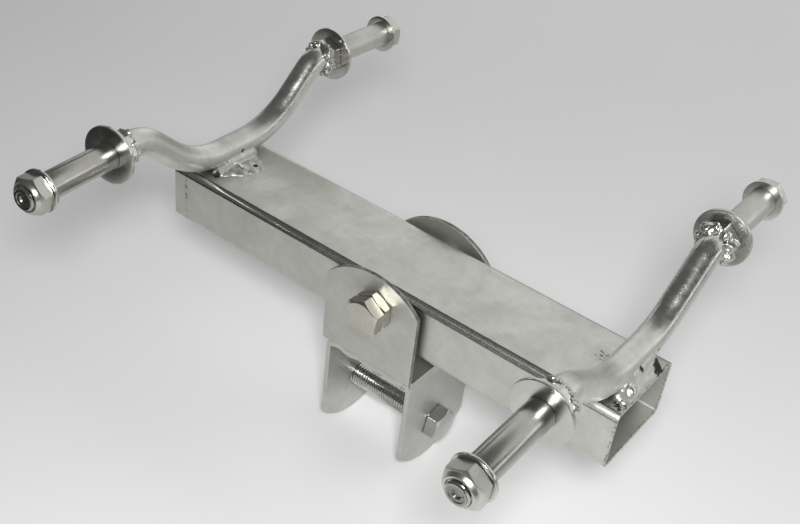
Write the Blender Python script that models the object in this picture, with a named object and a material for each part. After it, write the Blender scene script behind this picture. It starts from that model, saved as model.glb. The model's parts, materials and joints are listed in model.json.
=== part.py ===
"""Swinging roller cradle for a boat trailer, without its rollers.

A bent plate fork and a second bent plate, turned by a quarter and welded
under it, make the bracket that clamps on the trailer's post.  A hollow beam
rocks between the fork's ears on the pivot bolt.  Two bent round bars lie
across the beam, and each bar end carries a welded axle bolt with a collar,
a spacer sleeve for a roller, a washer and a self-locking nut.

Units are metres, +Z is up, +X runs along the beam and -Y is the front.  The
origin is the middle of the post seat, the underside of the clamp bracket's web.
"""

import math

import bmesh
import bpy
from mathutils import Matrix, Vector

MM = 0.001
GAP = 0.3 * MM

# Bent plates
PLATE = 4.0 * MM
BEND_INNER = 3.0 * MM
EAR_HALF_WIDTH = 43.0 * MM
EAR_OUTER_Y = 48.0 * MM
EAR_TOP = 92.7 * MM
TAB_OUTER_X = 42.0 * MM
TAB_HALF_WIDTH = 43.0 * MM
TAB_BOTTOM = -95.0 * MM
ARCH_RISE = 20.0 * MM
FORK_BOTTOM = PLATE + GAP

# Pivot bolt, along Y
PIVOT_X = 5.0 * MM
PIVOT_Z = 64.9 * MM
PIVOT_RADIUS = 8.9 * MM
PIVOT_FLATS = 28.0 * MM
PIVOT_HEAD = 10.0 * MM
PIVOT_NUT = 8.0 * MM
PIVOT_REAR_NUT = 14.0 * MM
BUSH_OUTER = 12.5 * MM
BUSH_BORE = 9.3 * MM

# Clamp bolt, along X
CLAMP_Z = -60.0 * MM
CLAMP_RADIUS = 9.9 * MM
CLAMP_FLATS = 27.0 * MM
CLAMP_HEAD = 11.5 * MM
CLAMP_NUT = 16.0 * MM

# Beam
BEAM_LENGTH = 422.0 * MM
BEAM_WIDTH = 80.0 * MM
BEAM_HEIGHT = 50.0 * MM
BEAM_WALL = 2.5 * MM
BEAM_CORNER = 5.0 * MM
BEAM_X = -6.5 * MM
BEAM_Z = 57.3 * MM

# Bent bars, paths measured on the bar's middle line
BAR_RADIUS = 10.8 * MM
LEFT_BAR_X = -194.7 * MM
RIGHT_BAR_X = 184.8 * MM

# Bends of each bar's two legs.  Each row: the straight run from the welded
# bolt head to the upper corner, how far the lower corner is from the beam's
# middle plane, then the upper and the lower bend's radius.
BENDS = {
    "left_front": (22.0, 41.0, 40.0, 79.0),
    "left_rear": (9.0, 49.0, 20.0, 88.0),
    "right_front": (12.5, 30.0, 36.0, 90.0),
    "right_rear": (8.0, 46.0, 20.0, 68.0),
}

# Axle bolts.  Each row: the collar's inner face (x, y, z above the beam's
# middle), then how far the weld left the axle out of square, yaw and pitch.
AXLES = {
    "left_front": (-195.7, -122.9, 80.9, 7.5, 3.5),
    "left_rear": (-194.5, 122.5, 81.0, 1.0, -2.0),
    "right_front": (186.0, -121.5, 77.5, -0.5, -2.0),
    "right_rear": (186.7, 123.0, 80.5, 1.0, 0.5),
}
AXLE_RADIUS = 8.9 * MM
AXLE_FLATS = 27.0 * MM
AXLE_HEAD = 12.4 * MM
AXLE_END = 88.4 * MM
COLLAR_RADIUS = 23.0 * MM
COLLAR_THICK = 3.2 * MM
ROLLER_SEAT = 11.2 * MM
SEAT_STEP = 0.15 * MM
SLEEVE_OUTER = 10.65 * MM
SLEEVE_BORE = 9.35 * MM
SLEEVE_LENGTH = 66.5 * MM
WASHER_RADIUS = 16.4 * MM
WASHER_THICK = 2.2 * MM
NUT_HEX = 10.5 * MM
NUT_DOME = 2.7 * MM
BORE_RADIUS = 9.2 * MM


def clear_scene():
    for item in list(bpy.data.objects):
        bpy.data.objects.remove(item, do_unlink=True)


def make_material(name, colour, roughness, metallic):
    material = bpy.data.materials.new(name)
    material.use_nodes = True
    shader = material.node_tree.nodes["Principled BSDF"]
    shader.inputs["Base Color"].default_value = (*colour, 1.0)
    shader.inputs["Roughness"].default_value = roughness
    shader.inputs["Metallic"].default_value = metallic
    return material


LOOKS = {
    "plate": ((0.56, 0.57, 0.56), 0.42, 0.9),
    "tube": ((0.60, 0.60, 0.58), 0.45, 0.9),
    "bar": ((0.50, 0.50, 0.48), 0.28, 1.0),
    "turned": ((0.48, 0.48, 0.47), 0.22, 1.0),
    "fastener": ((0.62, 0.63, 0.64), 0.25, 1.0),
    "weld": ((0.52, 0.52, 0.50), 0.40, 0.9),
    "nylon": ((0.16, 0.17, 0.18), 0.55, 0.0),
}


def make_empty(name, parent=None, matrix=None):
    empty = bpy.data.objects.new(name, None)
    bpy.context.collection.objects.link(empty)
    empty.empty_display_size = 0.02
    empty.parent = parent
    if matrix is not None:
        empty.matrix_local = matrix
    return empty


def make_object(name, bm, look, parent=None, location=(0.0, 0.0, 0.0)):
    """Close the bmesh as an object of its own, faces out, with its own material."""
    bmesh.ops.recalc_face_normals(bm, faces=bm.faces[:])
    mesh = bpy.data.meshes.new(name)
    bm.to_mesh(mesh)
    bm.free()
    mesh.shade_smooth()
    mesh.set_sharp_from_angle(angle=math.radians(32.0))
    mesh.materials.append(make_material(name, *LOOKS[look]))
    item = bpy.data.objects.new(name, mesh)
    bpy.context.collection.objects.link(item)
    item.parent = parent
    item.location = location
    return item


def skin(bm, rings, ring_closed):
    """Join rings of equal count with quads; end faces are added if it is not a loop."""
    loops = [[bm.verts.new(point) for point in ring] for ring in rings]
    count = len(loops[0])
    pairs = list(zip(loops, loops[1:]))
    if ring_closed:
        pairs.append((loops[-1], loops[0]))
    for first, second in pairs:
        for i in range(count):
            j = (i + 1) % count
            bm.faces.new((first[i], first[j], second[j], second[i]))
    if not ring_closed:
        bm.faces.new(loops[0])
        bm.faces.new(loops[-1])


def turned(profile, segments, bored):
    """Turn a profile of (radius, height) pairs about Z."""
    bm = bmesh.new()
    rings = []
    for radius, height in profile:
        ring = []
        for i in range(segments):
            angle = 2.0 * math.pi * i / segments
            ring.append((radius * math.cos(angle), radius * math.sin(angle), height))
        rings.append(ring)
    skin(bm, rings, bored)
    return bm


def hex_radius(angle, flats, turn):
    """Distance from the axis to a hexagon's side, in the direction of angle."""
    third = math.pi / 3.0
    local = (angle - turn) % third - third / 2.0
    return 0.5 * flats / math.cos(local)


def hex_ring(flats, turn, segments, height, chamfer, direction):
    """A hexagonal ring whose height drops away from the chamfer circle."""
    ring = []
    for i in range(segments):
        angle = turn + 2.0 * math.pi * i / segments
        radius = hex_radius(angle, flats, turn)
        drop = max(0.0, radius - chamfer) * math.tan(math.radians(30.0))
        ring.append((radius * math.cos(angle), radius * math.sin(angle), height - direction * drop))
    return ring


def circle_ring(radius, turn, segments, height):
    ring = []
    for i in range(segments):
        angle = turn + 2.0 * math.pi * i / segments
        ring.append((radius * math.cos(angle), radius * math.sin(angle), height))
    return ring


def hex_bolt(flats, head_low, head_high, shank, end, turn, segments=24):
    """Hexagon head between two heights, its shank running to end along Z."""
    bm = bmesh.new()
    chamfer = 0.475 * flats
    outward = 1.0 if head_high > head_low else -1.0
    tip = 1.5 * MM if end > head_low else -1.5 * MM
    rings = [
        circle_ring(chamfer, turn, segments, head_high),
        hex_ring(flats, turn, segments, head_high, chamfer, outward),
        hex_ring(flats, turn, segments, head_low, 0.5 * flats * 1.2, 1.0),
        circle_ring(shank, turn, segments, head_low),
        circle_ring(shank, turn, segments, end - tip),
        circle_ring(shank - abs(tip), turn, segments, end),
    ]
    skin(bm, rings, False)
    return bm


def hex_nut(flats, low, high, bore, turn, segments=24):
    """Plain nut, chamfered on both faces."""
    bm = bmesh.new()
    chamfer = 0.475 * flats
    rings = [
        circle_ring(bore, turn, segments, low),
        circle_ring(chamfer, turn, segments, low),
        hex_ring(flats, turn, segments, low, chamfer, -1.0),
        hex_ring(flats, turn, segments, high, chamfer, 1.0),
        circle_ring(chamfer, turn, segments, high),
        circle_ring(bore, turn, segments, high),
    ]
    skin(bm, rings, True)
    return bm


def lock_nut(flats, low, bore, turn, segments=24):
    """Self-locking nut: a hexagon with a turned rim that holds a nylon ring."""
    bm = bmesh.new()
    chamfer = 0.475 * flats
    shoulder = low + NUT_HEX
    top = shoulder + NUT_DOME
    rings = [
        circle_ring(bore, turn, segments, low),
        circle_ring(chamfer, turn, segments, low),
        hex_ring(flats, turn, segments, low, chamfer, -1.0),
        hex_ring(flats, turn, segments, shoulder, chamfer, 1.0),
        circle_ring(chamfer, turn, segments, shoulder),
        circle_ring(0.450 * flats, turn, segments, shoulder + 0.40 * NUT_DOME),
        circle_ring(0.425 * flats, turn, segments, top),
        circle_ring(11.0 * MM, turn, segments, top),
        circle_ring(11.0 * MM, turn, segments, shoulder),
        circle_ring(bore, turn, segments, shoulder),
    ]
    skin(bm, rings, True)
    return bm


def prism(points, depth_low, depth_high, place):
    """Extrude a flat outline; place turns (u, v, depth) into a point."""
    bm = bmesh.new()
    rings = []
    for depth in (depth_low, depth_high):
        rings.append([place(u, v, depth) for u, v in points])
    skin(bm, rings, False)
    return bm


def arc_points(centre, radius, start, finish, steps):
    points = []
    for i in range(steps + 1):
        angle = start + (finish - start) * i / steps
        points.append((centre[0] + radius * math.cos(angle), centre[1] + radius * math.sin(angle)))
    return points


def bent_outline(half_outer, low, tip):
    """Section of a plate bent into a U that opens towards tip."""
    sign = 1.0 if tip > low else -1.0
    outer = BEND_INNER + PLATE
    inner_half = half_outer - PLATE
    right = []
    for angle_step in range(7):
        angle = -0.5 * math.pi + 0.5 * math.pi * angle_step / 6
        u = half_outer - outer + outer * math.cos(angle)
        v = low + sign * (outer + outer * math.sin(angle))
        right.append((u, v))
    right.append((half_outer, tip))
    right.append((inner_half, tip))
    for angle_step in range(7):
        angle = -0.5 * math.pi * angle_step / 6
        u = inner_half - BEND_INNER + BEND_INNER * math.cos(angle)
        v = low + sign * (PLATE + BEND_INNER + BEND_INNER * math.sin(angle))
        right.append((u, v))
    # The second half is the mirror image, walked the other way
    return right + [(-u, v) for u, v in reversed(right)]


def arched_outline(half_width, low, tip):
    """Outline of a plate seen square on: straight sides and an arched end."""
    sign = 1.0 if tip > low else -1.0
    radius = (half_width ** 2 + ARCH_RISE ** 2) / (2.0 * ARCH_RISE)
    half_angle = math.asin(half_width / radius)
    points = [(-half_width, low), (half_width, low)]
    steps = 16
    for i in range(steps + 1):
        angle = half_angle - 2.0 * half_angle * i / steps
        points.append((radius * math.sin(angle), tip - sign * radius * (1.0 - math.cos(angle))))
    return points


def cylinder_cutter(radius, half_length, segments=32):
    return turned([(radius, -half_length), (radius, half_length)], segments, False)


def cut(target, bm, operation, rotation=(0.0, 0.0, 0.0), location=(0.0, 0.0, 0.0)):
    """Give target a Boolean with a hidden wire cutter made from the bmesh."""
    bmesh.ops.recalc_face_normals(bm, faces=bm.faces[:])
    mesh = bpy.data.meshes.new(target.name + "_cutter")
    bm.to_mesh(mesh)
    bm.free()
    cutter = bpy.data.objects.new(target.name + "_cutter", mesh)
    bpy.context.collection.objects.link(cutter)
    cutter.parent = target.parent
    cutter.rotation_euler = rotation
    cutter.location = location
    cutter.hide_render = True
    cutter.display_type = "WIRE"
    modifier = target.modifiers.new(operation.title(), "BOOLEAN")
    modifier.operation = operation
    modifier.solver = "EXACT"
    modifier.object = cutter
    return cutter


def bead(start, direction, length, radius, side, up, squash, waves, seed, segments=8, steps=12):
    """A lumpy weld bead along a line, closed by narrowing at both ends."""
    bm = bmesh.new()
    rings = []
    for k in range(steps + 1):
        t = k / steps
        envelope = math.sqrt(max(0.0, 1.0 - (2.0 * t - 1.0) ** 4))
        swell = 0.84 + 0.10 * math.sin(waves * 2.0 * math.pi * t + seed)
        swell += 0.06 * math.sin(waves * 4.4 * math.pi * t + 2.0 * seed)
        size = radius * max(0.16, envelope) * swell
        centre = start + direction * (length * t)
        ring = []
        for i in range(segments):
            angle = 2.0 * math.pi * i / segments
            offset = side * (size * math.cos(angle)) + up * (size * squash * math.sin(angle))
            ring.append(centre + offset)
        rings.append(ring)
    skin(bm, rings, False)
    return bm


def ring_bead(centre_radius, height, radius, seed, around=18, segments=6):
    """A lumpy weld bead closed on itself round the Z axis."""
    bm = bmesh.new()
    rings = []
    for k in range(around):
        turn = 2.0 * math.pi * k / around
        size = radius * (0.88 + 0.08 * math.sin(5.0 * turn + seed) + 0.04 * math.sin(11.0 * turn))
        ring = []
        for i in range(segments):
            angle = 2.0 * math.pi * i / segments
            reach = centre_radius + size * math.cos(angle)
            z = height + size * math.sin(angle)
            ring.append((reach * math.cos(turn), reach * math.sin(turn), z))
        rings.append(ring)
    skin(bm, rings, True)
    return bm


def fillet(before, knee, after, radius, steps):
    """Points of the arc that rounds a knee between two straight lines."""
    back = (before - knee).normalized()
    ahead = (after - knee).normalized()
    half = 0.5 * back.angle(ahead)
    reach = radius / math.tan(half)
    axis = (back + ahead).normalized()
    centre = knee + axis * (radius / math.sin(half))
    first = knee + back * reach - centre
    last = knee + ahead * reach - centre
    sweep = first.angle(last)
    normal = first.cross(last).normalized()
    points = []
    for i in range(steps + 1):
        rotation = Matrix.Rotation(sweep * i / steps, 3, normal)
        points.append(centre + rotation @ first)
    return points


def swept_bar(path, radius, segments=14):
    """Round bar along a path; each ring is carried on from the one before."""
    bm = bmesh.new()
    rings = []
    side = Vector((1.0, 0.0, 0.0))
    for i, point in enumerate(path):
        ahead = path[min(i + 1, len(path) - 1)]
        behind = path[max(i - 1, 0)]
        tangent = (ahead - behind).normalized()
        side = (side - tangent * side.dot(tangent)).normalized()
        up = tangent.cross(side)
        ring = []
        for k in range(segments):
            angle = 2.0 * math.pi * k / segments
            ring.append(point + side * (radius * math.cos(angle)) + up * (radius * math.sin(angle)))
        rings.append(ring)
    skin(bm, rings, False)
    return bm


def axle_matrix(name):
    """Place of an axle: origin on the collar's inner face, Z pointing outwards."""
    x, y, z, yaw, pitch = AXLES[name]
    side = math.copysign(1.0, y)
    yaw = math.radians(yaw)
    pitch = math.radians(pitch)
    outward = Vector((
        math.sin(yaw) * math.cos(pitch),
        side * math.cos(yaw) * math.cos(pitch),
        math.sin(pitch),
    ))
    across = outward.cross(Vector((0.0, 0.0, 1.0))).normalized()
    third = outward.cross(across)
    turn = Matrix((across, third, outward)).transposed().to_4x4()
    return Matrix.Translation(Vector((x * MM, y * MM, BEAM_Z + z * MM))) @ turn


def axle_point(name, along):
    return axle_matrix(name) @ Vector((0.0, 0.0, along))


def arm_leg(name, bar_x):
    """End, upper corner and lower corner of one leg of a bent bar."""
    run, low_y, _, _ = BENDS[name]
    end = axle_point(name, -AXLE_HEAD - 2.0 * GAP)
    knee = axle_point(name, -AXLE_HEAD - 2.0 * GAP - run * MM)
    level = BEAM_Z + 0.5 * BEAM_HEIGHT + BAR_RADIUS + GAP
    low = Vector((bar_x, math.copysign(low_y * MM, end.y), level))
    return end, knee, low


def arm_path(front, rear, bar_x):
    """Middle line of a bent bar, from one welded bolt head to the other."""
    sides = []
    for name in (front, rear):
        end, knee, low = arm_leg(name, bar_x)
        middle = Vector((bar_x, 0.0, low.z))
        upper_bend, lower_bend = BENDS[name][2] * MM, BENDS[name][3] * MM
        points = [end]
        points += fillet(end, knee, low, upper_bend, 4)
        points += fillet(knee, low, middle, lower_bend, 6)
        sides.append(points)
    return sides[0] + sides[1][::-1]


def build_bracket():
    def along_x(u, v, depth):
        return (depth, u, v)

    def along_y(u, v, depth):
        return (u, depth, v)

    section = bent_outline(EAR_OUTER_Y, FORK_BOTTOM, EAR_TOP + 0.01)
    fork = make_object("fork_bracket", prism(section, -0.06, 0.06, along_x), "plate")
    outline = arched_outline(EAR_HALF_WIDTH, FORK_BOTTOM - 0.01, EAR_TOP)
    cut(fork, prism(outline, -0.07, 0.07, along_y), "INTERSECT")
    quarter = math.radians(90.0)
    hole = cylinder_cutter(PIVOT_RADIUS + GAP, 0.07)
    cut(fork, hole, "DIFFERENCE", (quarter, 0.0, 0.0), (PIVOT_X, 0.0, PIVOT_Z))

    section = bent_outline(TAB_OUTER_X, PLATE, TAB_BOTTOM - 0.01)
    clamp = make_object("clamp_bracket", prism(section, -0.06, 0.06, along_y), "plate")
    outline = arched_outline(TAB_HALF_WIDTH, PLATE + 0.01, TAB_BOTTOM)
    cut(clamp, prism(outline, -0.07, 0.07, along_x), "INTERSECT")
    hole = cylinder_cutter(CLAMP_RADIUS + GAP, 0.07)
    cut(clamp, hole, "DIFFERENCE", (0.0, quarter, 0.0), (0.0, 0.0, CLAMP_Z))

    along = Vector((1.0, 0.0, 0.0))
    for name, side, seed in (("front", -1.0, 0.4), ("rear", 1.0, 1.9)):
        start = Vector((-0.037, side * 46.6 * MM, 2.0 * MM))
        across = Vector((0.0, side, 0.0))
        up = Vector((0.0, 0.0, 1.0))
        bm = bead(start, along, 0.074, 3.0 * MM, across, up, 0.95, 5.0, seed, steps=20)
        make_object("bracket_weld_" + name, bm, "weld")


def build_pivot():
    """Pivot bolt and nuts; the frame's Z points to the front."""
    quarter = math.radians(90.0)
    matrix = Matrix.Translation((PIVOT_X, 0.0, PIVOT_Z)) @ Matrix.Rotation(quarter, 4, "X")
    frame = make_empty("pivot_frame", None, matrix)
    face = EAR_OUTER_Y + GAP
    head = face + PIVOT_NUT + GAP
    rear_end = -(EAR_OUTER_Y + GAP + PIVOT_REAR_NUT + 5.0 * MM)
    turn = math.radians(25.0)
    bm = hex_bolt(PIVOT_FLATS, head, head + PIVOT_HEAD, PIVOT_RADIUS, rear_end, turn)
    make_object("pivot_bolt", bm, "fastener", frame)
    bm = hex_nut(PIVOT_FLATS, face, face + PIVOT_NUT, BORE_RADIUS, math.radians(29.0))
    make_object("pivot_front_nut", bm, "fastener", frame)
    bm = hex_nut(PIVOT_FLATS, -face - PIVOT_REAR_NUT, -face, BORE_RADIUS, math.radians(8.0))
    make_object("pivot_rear_nut", bm, "fastener", frame)


def build_clamp_bolt():
    """Clamp bolt and nut; the frame's Z points to the right, +X."""
    quarter = math.radians(90.0)
    matrix = Matrix.Translation((0.0, 0.0, CLAMP_Z)) @ Matrix.Rotation(quarter, 4, "Y")
    frame = make_empty("clamp_frame", None, matrix)
    face = TAB_OUTER_X + GAP
    end = -(face + CLAMP_NUT + 4.0 * MM)
    turn = math.radians(46.0)
    bm = hex_bolt(CLAMP_FLATS, face, face + CLAMP_HEAD, CLAMP_RADIUS, end, turn)
    make_object("clamp_bolt", bm, "fastener", frame)
    bore = CLAMP_RADIUS + GAP
    bm = hex_nut(CLAMP_FLATS, -face - CLAMP_NUT, -face, bore, math.radians(17.0))
    make_object("clamp_nut", bm, "fastener", frame)


def rounded_rectangle(width, height, corner, steps=5):
    points = []
    corners = ((1, 1, 0.0), (-1, 1, 0.5), (-1, -1, 1.0), (1, -1, 1.5))
    for sign_u, sign_v, start in corners:
        centre = (sign_u * (0.5 * width - corner), sign_v * (0.5 * height - corner))
        first = start * math.pi
        points += arc_points(centre, corner, first, first + 0.5 * math.pi, steps)
    return points


def build_beam(frame):
    """The hollow beam, the bush through it and the two bars with their welds."""
    middle = Vector((BEAM_X - PIVOT_X, 0.0, BEAM_Z - PIVOT_Z))
    half = 0.5 * BEAM_LENGTH
    outer = rounded_rectangle(BEAM_WIDTH, BEAM_HEIGHT, BEAM_CORNER)
    inner = rounded_rectangle(
        BEAM_WIDTH - 2.0 * BEAM_WALL,
        BEAM_HEIGHT - 2.0 * BEAM_WALL,
        BEAM_CORNER - BEAM_WALL,
    )
    bm = bmesh.new()
    rings = []
    for points, x in ((outer, -half), (outer, half), (inner, half), (inner, -half)):
        rings.append([(x, u, v) for u, v in points])
    skin(bm, rings, True)
    tube = make_object("beam_tube", bm, "tube", frame, middle)
    hole = cylinder_cutter(BUSH_OUTER + GAP, 0.06)
    cut(tube, hole, "DIFFERENCE", (math.radians(90.0), 0.0, 0.0), (0.0, 0.0, 0.0))

    reach = EAR_OUTER_Y - PLATE - GAP
    profile = [(BUSH_BORE, -reach), (BUSH_OUTER, -reach), (BUSH_OUTER, reach), (BUSH_BORE, reach)]
    bush = make_object("pivot_bush", turned(profile, 24, True), "tube", frame)
    bush.rotation_euler = (math.radians(90.0), 0.0, 0.0)

    pivot = Vector((PIVOT_X, 0.0, PIVOT_Z))
    top = BEAM_Z + 0.5 * BEAM_HEIGHT
    along = Vector((0.0, 1.0, 0.0))
    up = Vector((0.0, 0.0, 1.0))
    # A bead of this radius touches neither the bar nor the beam's top
    weld = 4.6 * MM
    drop = BAR_RADIUS - weld
    reach = math.sqrt((BAR_RADIUS + weld + 2.0 * GAP) ** 2 - drop ** 2)
    for arm, bar_x in (("left", LEFT_BAR_X), ("right", RIGHT_BAR_X)):
        path = arm_path(arm + "_front", arm + "_rear", bar_x)
        bm = swept_bar([point - pivot for point in path], BAR_RADIUS)
        make_object(arm + "_arm", bm, "bar", frame)
        for place, side in (("left", -1.0), ("right", 1.0)):
            across = Vector((side, 0.0, 0.0))
            start = Vector((bar_x + side * reach, -0.021, top + weld + GAP)) - pivot
            seed = 0.7 + bar_x * 9.0 + side
            bm = bead(start, along, 0.040, weld, across, up, 1.0, 2.0, seed)
            make_object(arm + "_arm_weld_" + place, bm, "weld", frame)


def build_axle(name, frame, pivot, turn, seed):
    """One axle: bolt, weld, collar, sleeve, washer, lock nut and nylon ring."""
    matrix = Matrix.Translation(-pivot) @ axle_matrix(name)
    axle = make_empty(name + "_frame", frame, matrix)
    head_top = -AXLE_HEAD - GAP
    bm = hex_bolt(AXLE_FLATS, -GAP, head_top, AXLE_RADIUS, AXLE_END, turn)
    make_object(name + "_bolt", bm, "fastener", axle)
    bm = ring_bead(BAR_RADIUS + 2.5 * MM, head_top - 2.5 * MM, 2.1 * MM, seed)
    make_object(name + "_head_weld", bm, "weld", axle)

    high = COLLAR_THICK
    edge = 0.5 * MM
    profile = [
        (BORE_RADIUS, 0.0),
        (COLLAR_RADIUS - edge, 0.0),
        (COLLAR_RADIUS, edge),
        (COLLAR_RADIUS, high - edge),
        (COLLAR_RADIUS - edge, high),
        (ROLLER_SEAT, high),
        (ROLLER_SEAT - SEAT_STEP, high - SEAT_STEP),
        (BORE_RADIUS, high - SEAT_STEP),
    ]
    # A roller's end bears on the face from ROLLER_SEAT to the edge; the step keeps it off the sleeve
    make_object(name + "_collar", turned(profile, 28, True), "turned", axle)

    low = COLLAR_THICK + GAP
    high = low + SLEEVE_LENGTH
    profile = [(SLEEVE_BORE, low), (SLEEVE_OUTER, low), (SLEEVE_OUTER, high), (SLEEVE_BORE, high)]
    make_object(name + "_sleeve", turned(profile, 20, True), "turned", axle)

    low = high + GAP
    high = low + WASHER_THICK
    profile = [(BORE_RADIUS, low), (WASHER_RADIUS, low), (WASHER_RADIUS, high), (BORE_RADIUS, high)]
    make_object(name + "_washer", turned(profile, 24, True), "turned", axle)

    low = high + GAP
    nut_turn = turn + math.radians(11.0)
    bm = lock_nut(AXLE_FLATS, low, BORE_RADIUS, nut_turn)
    make_object(name + "_nut", bm, "fastener", axle)
    ring_low = low + NUT_HEX + GAP
    ring_high = low + NUT_HEX + NUT_DOME - GAP
    ring_outer = 10.7 * MM
    profile = [
        (BORE_RADIUS, ring_low),
        (ring_outer, ring_low),
        (ring_outer, ring_high),
        (BORE_RADIUS, ring_high),
    ]
    make_object(name + "_nylon_ring", turned(profile, 20, True), "nylon", axle)


def build():
    clear_scene()
    build_bracket()
    build_pivot()
    build_clamp_bolt()
    pivot = Vector((PIVOT_X, 0.0, PIVOT_Z))
    frame = make_empty("beam_frame", None, Matrix.Translation(pivot))
    build_beam(frame)
    turns = {"left_front": 3.0, "left_rear": 20.0, "right_front": 14.0, "right_rear": 41.0}
    for index, (name, degrees) in enumerate(turns.items()):
        build_axle(name, frame, pivot, math.radians(degrees), 0.8 * index)


build()
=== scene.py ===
"""Looks of a swinging roller cradle for a boat trailer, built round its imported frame.

Each CAD solid is replaced by a finer mesh in the same place, riding on the same
body: rolled and bent plates with broken edges, a drawn hollow beam, bent bars,
threaded bolts, chamfered nuts and lumpy welds, all in worn bright zinc.

Units are metres in the row frame: +Z up, +X along the beam, -Y the front.
"""

import json
import math

import bmesh
import bpy
from mathutils import Matrix, Vector, noise


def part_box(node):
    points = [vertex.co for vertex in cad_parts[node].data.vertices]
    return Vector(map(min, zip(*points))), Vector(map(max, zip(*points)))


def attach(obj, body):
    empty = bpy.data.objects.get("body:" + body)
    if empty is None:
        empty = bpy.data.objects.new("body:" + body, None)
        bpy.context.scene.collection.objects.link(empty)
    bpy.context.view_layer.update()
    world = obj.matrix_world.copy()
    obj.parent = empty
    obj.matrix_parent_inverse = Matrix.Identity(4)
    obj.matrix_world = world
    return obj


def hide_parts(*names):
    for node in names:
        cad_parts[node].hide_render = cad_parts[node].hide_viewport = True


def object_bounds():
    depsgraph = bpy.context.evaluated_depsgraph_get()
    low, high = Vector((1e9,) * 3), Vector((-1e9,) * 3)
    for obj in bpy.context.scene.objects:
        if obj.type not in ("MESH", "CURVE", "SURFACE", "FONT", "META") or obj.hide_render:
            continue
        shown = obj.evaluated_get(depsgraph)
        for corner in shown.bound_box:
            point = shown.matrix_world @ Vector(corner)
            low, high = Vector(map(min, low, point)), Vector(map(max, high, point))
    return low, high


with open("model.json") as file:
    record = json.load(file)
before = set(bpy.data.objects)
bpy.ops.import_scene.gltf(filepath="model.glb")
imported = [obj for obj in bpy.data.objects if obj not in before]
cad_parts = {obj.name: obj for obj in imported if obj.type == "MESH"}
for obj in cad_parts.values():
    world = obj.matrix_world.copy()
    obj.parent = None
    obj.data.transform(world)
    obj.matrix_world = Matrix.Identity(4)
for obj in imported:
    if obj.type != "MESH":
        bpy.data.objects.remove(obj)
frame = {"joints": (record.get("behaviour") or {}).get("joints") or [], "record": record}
cad_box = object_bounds()

MM = 0.001

# Plates
PLATE = 4.0 * MM
BEND_INNER = 3.0 * MM
ARCH_RISE = 20.0 * MM
EDGE_ROUND = 0.6 * MM

# Fasteners
PIVOT_FLATS = 28.0 * MM
PIVOT_THREAD = 9.0 * MM
CLAMP_FLATS = 27.0 * MM
CLAMP_THREAD = 9.9 * MM
AXLE_FLATS = 27.0 * MM
AXLE_THREAD = 8.9 * MM
PITCH = 2.5 * MM

# Beam
BEAM_WALL = 2.5 * MM
BEAM_CORNER = 5.5 * MM
BUSH_BORE = 9.3 * MM
BUSH_HOLE = 12.6 * MM

# Bent bars
BAR_RADIUS = 10.8 * MM

# Welds: the size of their finest lumps, and how deep they reach into the beam's wall
WELD_VOXEL = 0.45 * MM
WELD_DEPTH = 1.2 * MM

# Bends of each bar's two legs: the straight run from the welded bolt head to the
# upper corner, the lower corner's distance from the beam's middle plane, and the
# upper and lower bend's radius
BENDS = {
    "left_front": (22.0, 41.0, 40.0, 79.0),
    "left_rear": (9.0, 49.0, 20.0, 88.0),
    "right_front": (12.5, 30.0, 36.0, 90.0),
    "right_rear": (8.0, 46.0, 20.0, 68.0),
}

# Along an axle, from the collar's inner face
AXLE_HEAD = 12.7 * MM
COLLAR_RADIUS = 23.0 * MM
COLLAR_THICK = 3.2 * MM
SLEEVE_OUTER = 10.65 * MM
SLEEVE_BORE = 9.35 * MM
SLEEVE_LOW = 3.4 * MM
SLEEVE_HIGH = 70.1 * MM
WASHER_RADIUS = 16.4 * MM
WASHER_HIGH = 72.6 * MM
NUT_LOW = 72.7 * MM
NUT_HEX = 10.5 * MM
NUT_DOME = 2.8 * MM
NYLON_INNER = 8.3 * MM
NYLON_OUTER = 10.9 * MM
AXLE_END = 88.4 * MM
AXLE_BORE = 9.2 * MM

AXLES = ("left_front", "left_rear", "right_front", "right_rear")


def weld_row(across, half_x, half_z, count, start=-20.0):
    """Drops in a row beside a bar, lower at the front end; see ARM_WELDS for the order."""
    rise = [min(1.0, 0.45 + 0.14 * k) for k in range(count)]
    return [(across, start + 3.0 * k, half_x, 7.5, half_z * rise[k], -0.1) for k in range(count)]


# Weld metal beside the bars, in mm: distance from the bar's middle, place along
# the bar, half sizes across, along and up, and the share of the height sunk in the beam
ARM_WELDS = {
    ("left", "left"): weld_row(10.5, 5.0, 5.5, 13),
    ("left", "right"): weld_row(9.8, 4.8, 9.0, 13, -21.0)
    + [(13.0, -17.0, 7.5, 8.0, 3.6, 0.4), (15.5, -11.0, 8.5, 8.5, 5.2, 0.4)]
    + [(18.5, -4.0, 9.5, 9.0, 6.0, 0.4), (16.0, 4.0, 10.0, 9.5, 5.6, 0.4)]
    + [(23.0, 1.0, 9.0, 8.5, 3.8, 0.4), (14.0, 12.0, 8.0, 9.0, 4.6, 0.4)]
    + [(20.0, -8.0, 8.5, 8.0, 4.4, 0.4), (25.0, 8.0, 7.5, 7.5, 2.8, 0.4)]
    + [(19.0, 12.0, 8.0, 7.0, 3.4, 0.4), (17.0, -6.0, 4.6, 5.0, 4.8, 0.0)],
    ("right", "left"): weld_row(10.5, 5.0, 5.5, 13),
    ("right", "right"): weld_row(9.8, 5.0, 13.0, 14)
    + weld_row(11.2, 5.0, 10.6, 14)
    + weld_row(12.6, 4.8, 8.6, 14)
    + weld_row(14.0, 4.6, 6.6, 14)
    + weld_row(15.4, 4.0, 4.8, 14)
    + [(15.0, -15.0, 4.4, 5.4, 7.6, -0.1)],
}

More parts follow.
